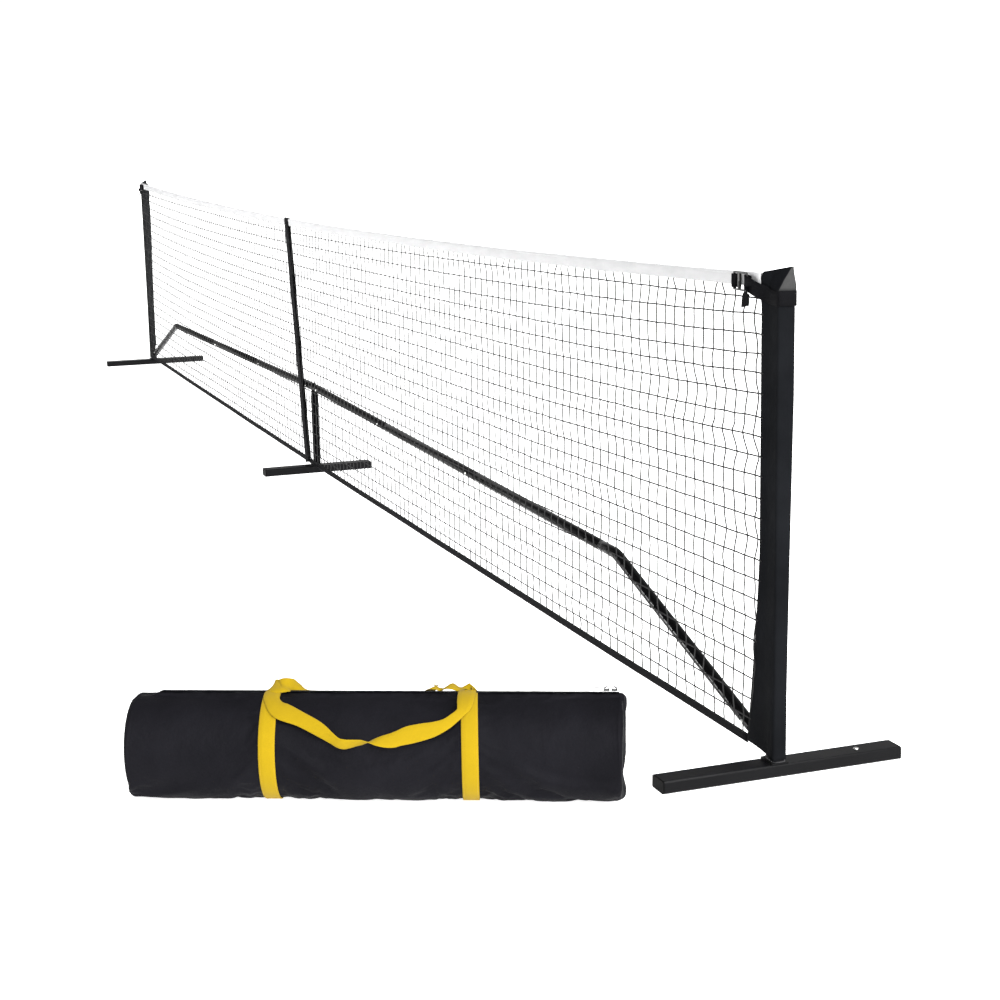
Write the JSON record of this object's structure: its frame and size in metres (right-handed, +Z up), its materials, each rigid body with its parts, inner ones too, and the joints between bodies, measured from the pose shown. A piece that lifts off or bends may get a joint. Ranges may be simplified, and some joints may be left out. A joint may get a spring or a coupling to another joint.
{
  "type": "portable court net set",
  "caption": "Portable court net on a plug-together tube frame with three floor feet, a taut net with straps and sleeves, and a zipped carry bag.",
  "frame": {"origin": "centre of the centre foot's underside, on the floor", "axes": "+X along the net, -Y towards the side the carry bag lies on, +Z up"},
  "size_m": [6.8158, 1.3932, 0.9325],
  "materials": {
    "black_steel": "black powder coat with a soft gloss",
    "black_plastic": "moulded black plastic",
    "zinc": "bright zinc plating",
    "sleeve_cloth": "black coated polyester cloth",
    "black_webbing": "black woven webbing",
    "white_tape": "white folded vinyl-coated tape",
    "net_cord": "black knotless cord",
    "bag_cloth": "black creased polyester",
    "yellow_webbing": "yellow ribbed webbing",
    "zip_plastic": "black zip"
  },
  "bodies": {
    "frame": {"bottom_tape": "black_webbing", "centre_foot_bar": "black_steel", "centre_foot_bracket": "black_steel", "centre_foot_cap_back": "black_plastic", "centre_foot_cap_front": "black_plastic", "centre_post": "black_steel", "centre_strap": "black_webbing", "centre_tee": "black_steel", "headband": "white_tape", "headband_webbing": "white_tape", "left_brace": "black_steel", "left_foot_bar": "black_steel", "left_foot_bracket": "black_steel", "left_foot_cap_back": "black_plastic", "left_foot_cap_front": "black_plastic", "left_foot_rivet": "zinc", "left_post": "black_steel", "left_post_cap": "black_plastic", "left_rail_inner": "black_steel", "left_rail_middle": "black_steel", "left_rail_outer": "black_steel", "left_sleeve": "sleeve_cloth", "left_tension_strap": "black_webbing", "net_mesh": "net_cord", "right_brace": "black_steel", "right_foot_bar": "black_steel", "right_foot_bracket": "black_steel", "right_foot_cap_back": "black_plastic", "right_foot_cap_front": "black_plastic", "right_foot_rivet": "zinc", "right_post": "black_steel", "right_post_cap": "black_plastic", "right_rail_inner": "black_steel", "right_rail_middle": "black_steel", "right_rail_outer": "black_steel", "right_sleeve": "sleeve_cloth", "right_tension_strap": "black_webbing"},
    "centre_post_snap_button": {"centre_post_snap_button": "zinc"},
    "left_bend_snap_button": {"left_bend_snap_button": "zinc"},
    "left_brace_snap_button": {"left_brace_snap_button": "zinc"},
    "left_inner_snap_button": {"left_inner_snap_button": "zinc"},
    "left_outer_snap_button": {"left_outer_snap_button": "zinc"},
    "left_tee_snap_button": {"left_tee_snap_button": "zinc"},
    "right_bend_snap_button": {"right_bend_snap_button": "zinc"},
    "right_brace_snap_button": {"right_brace_snap_button": "zinc"},
    "right_inner_snap_button": {"right_inner_snap_button": "zinc"},
    "right_outer_snap_button": {"right_outer_snap_button": "zinc"},
    "right_tee_snap_button": {"right_tee_snap_button": "zinc"},
    "right_buckle": {"right_buckle": "black_plastic"},
    "bag_zip_slider_right": {"bag_zip_slider_right": "zip_plastic"},
    "bag_zip_pull_right": {"bag_zip_pull_right": "zip_plastic"},
    "left_buckle": {"left_buckle": "black_plastic"},
    "bag_zip_slider_left": {"bag_zip_slider_left": "zip_plastic"},
    "bag_zip_pull_left": {"bag_zip_pull_left": "zip_plastic"},
    "bag_front_handle": {"bag_front_handle": "yellow_webbing"},
    "bag_back_handle": {"bag_back_handle": "yellow_webbing"},
    "bag": {"bag_body": "bag_cloth", "bag_left_band": "yellow_webbing", "bag_right_band": "yellow_webbing", "bag_zip_track": "zip_plastic"}
  },
  "joints": [
    {"name": "centre_post_button_press", "type": "slide", "parent": "frame", "child": "centre_post_snap_button", "axis": [0, 1, 0], "range_m": [0, 0.0032], "stiffness_N_per_m": 600, "springref_m": -0.004},
    {"name": "left_bend_button_press", "type": "slide", "parent": "frame", "child": "left_bend_snap_button", "axis": [0, 1, 0], "range_m": [0, 0.0032], "stiffness_N_per_m": 600, "springref_m": -0.004},
    {"name": "left_brace_button_press", "type": "slide", "parent": "frame", "child": "left_brace_snap_button", "axis": [0, 1, 0], "range_m": [0, 0.0032], "stiffness_N_per_m": 600, "springref_m": -0.004},
    {"name": "left_inner_button_press", "type": "slide", "parent": "frame", "child": "left_inner_snap_button", "axis": [0, 1, 0], "range_m": [0, 0.0032], "stiffness_N_per_m": 600, "springref_m": -0.004},
    {"name": "left_outer_button_press", "type": "slide", "parent": "frame", "child": "left_outer_snap_button", "axis": [0, 1, 0], "range_m": [0, 0.0032], "stiffness_N_per_m": 600, "springref_m": -0.004},
    {"name": "left_tee_button_press", "type": "slide", "parent": "frame", "child": "left_tee_snap_button", "axis": [0, 1, 0], "range_m": [0, 0.0032], "stiffness_N_per_m": 600, "springref_m": -0.004},
    {"name": "right_bend_button_press", "type": "slide", "parent": "frame", "child": "right_bend_snap_button", "axis": [0, 1, 0], "range_m": [0, 0.0032], "stiffness_N_per_m": 600, "springref_m": -0.004},
    {"name": "right_brace_button_press", "type": "slide", "parent": "frame", "child": "right_brace_snap_button", "axis": [0, 1, 0], "range_m": [0, 0.0032], "stiffness_N_per_m": 600, "springref_m": -0.004},
    {"name": "right_inner_button_press", "type": "slide", "parent": "frame", "child": "right_inner_snap_button", "axis": [0, 1, 0], "range_m": [0, 0.0032], "stiffness_N_per_m": 600, "springref_m": -0.004},
    {"name": "right_outer_button_press", "type": "slide", "parent": "frame", "child": "right_outer_snap_button", "axis": [0, 1, 0], "range_m": [0, 0.0032], "stiffness_N_per_m": 600, "springref_m": -0.004},
    {"name": "right_tee_button_press", "type": "slide", "parent": "frame", "child": "right_tee_snap_button", "axis": [0, 1, 0], "range_m": [0, 0.0032], "stiffness_N_per_m": 600, "springref_m": -0.004},
    {"name": "right_buckle_tilt", "type": "hinge", "parent": "frame", "child": "right_buckle", "pos_m": [3.2346, -0.0275, 0.899], "axis": [0, 0, -1], "range_deg": [0, 50]},
    {"name": "left_buckle_tilt", "type": "hinge", "parent": "frame", "child": "left_buckle", "pos_m": [-3.2346, -0.0275, 0.899], "axis": [0, 0, 1], "range_deg": [0, 50]},
    {"name": "bag_lift", "type": "slide", "parent": "frame", "child": "bag", "axis": [0, 0, 1], "range_m": [0, 0.35]},
    {"name": "bag_zip_left_slide", "type": "slide", "parent": "bag", "child": "bag_zip_slider_left", "axis": [0.4117, 0.9113, 0], "range_m": [-0.775, 0]},
    {"name": "bag_zip_right_slide", "type": "slide", "parent": "bag", "child": "bag_zip_slider_right", "axis": [0.4117, 0.9113, 0], "range_m": [0, 0.0045]},
    {"name": "bag_zip_pull_left_swing", "type": "hinge", "parent": "bag_zip_slider_left", "child": "bag_zip_pull_left", "pos_m": [3.31929, -0.32009, 0.19414], "axis": [-0.888, 0.4011, -0.225], "range_deg": [0, 100]},
    {"name": "bag_zip_pull_right_swing", "type": "hinge", "parent": "bag_zip_slider_right", "child": "bag_zip_pull_right", "pos_m": [3.32526, -0.30687, 0.19414], "axis": [0.888, -0.4011, 0.225], "range_deg": [0, 100]},
    {"name": "bag_front_handle_swing", "type": "hinge", "parent": "bag", "child": "bag_front_handle", "pos_m": [3.19694, -0.71142, 0.19114], "axis": [-0.4117, -0.9113, 0], "range_deg": [0, 120]},
    {"name": "bag_back_handle_swing", "type": "hinge", "parent": "bag", "child": "bag_back_handle", "pos_m": [3.1111, -0.67264, 0.16853], "axis": [0.4117, 0.9113, 0], "range_deg": [0, 120]}
  ]
}
